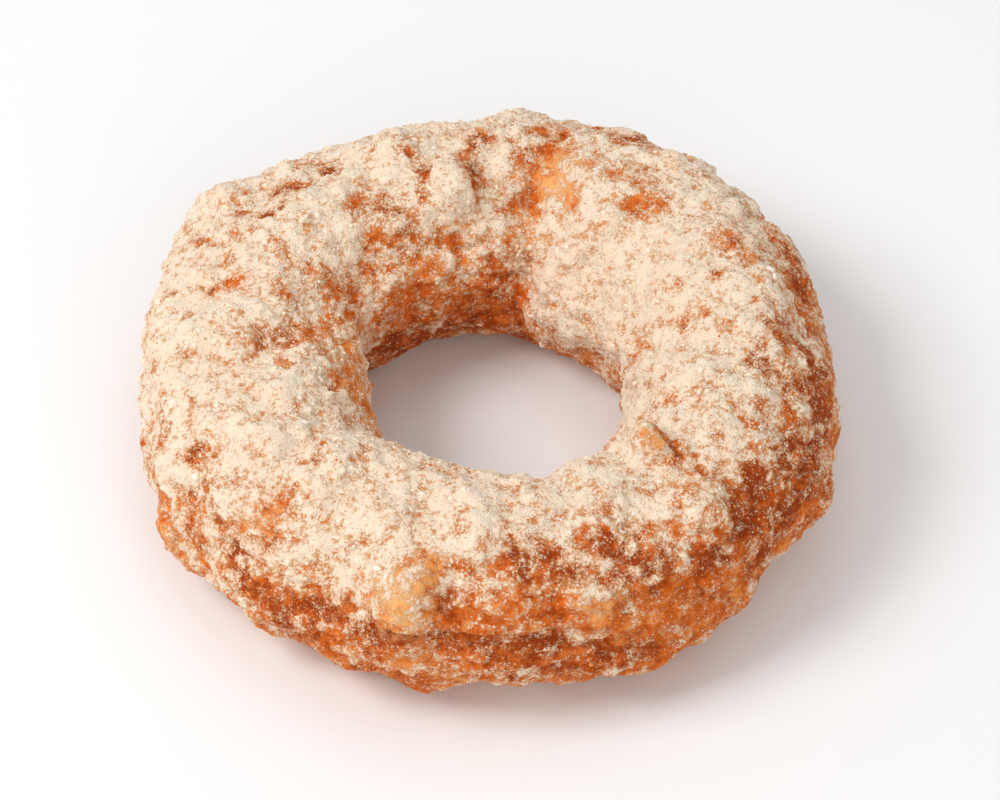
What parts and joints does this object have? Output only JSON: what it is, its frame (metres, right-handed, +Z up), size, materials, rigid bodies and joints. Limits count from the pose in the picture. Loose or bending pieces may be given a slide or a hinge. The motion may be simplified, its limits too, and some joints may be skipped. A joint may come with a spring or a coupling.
{
  "type": "milk doughnut",
  "caption": "Raised ring doughnut, fried and rolled in milk powder, with a lumpy crust and an open hole. One solid that rests flat.",
  "frame": {"origin": "under the middle of the doughnut, on the surface that it rests on", "axes": "+Z up along the hole's axis, +X to the right and -Y to the front as the doughnut is first seen"},
  "size_m": [0.0913, 0.0923, 0.0295],
  "materials": {
    "powdered_crust": "fried brown crust under a thick, uneven, grainy coat of cream milk powder"
  },
  "bodies": {
    "root": {"doughnut": "powdered_crust"}
  },
  "joints": []
}
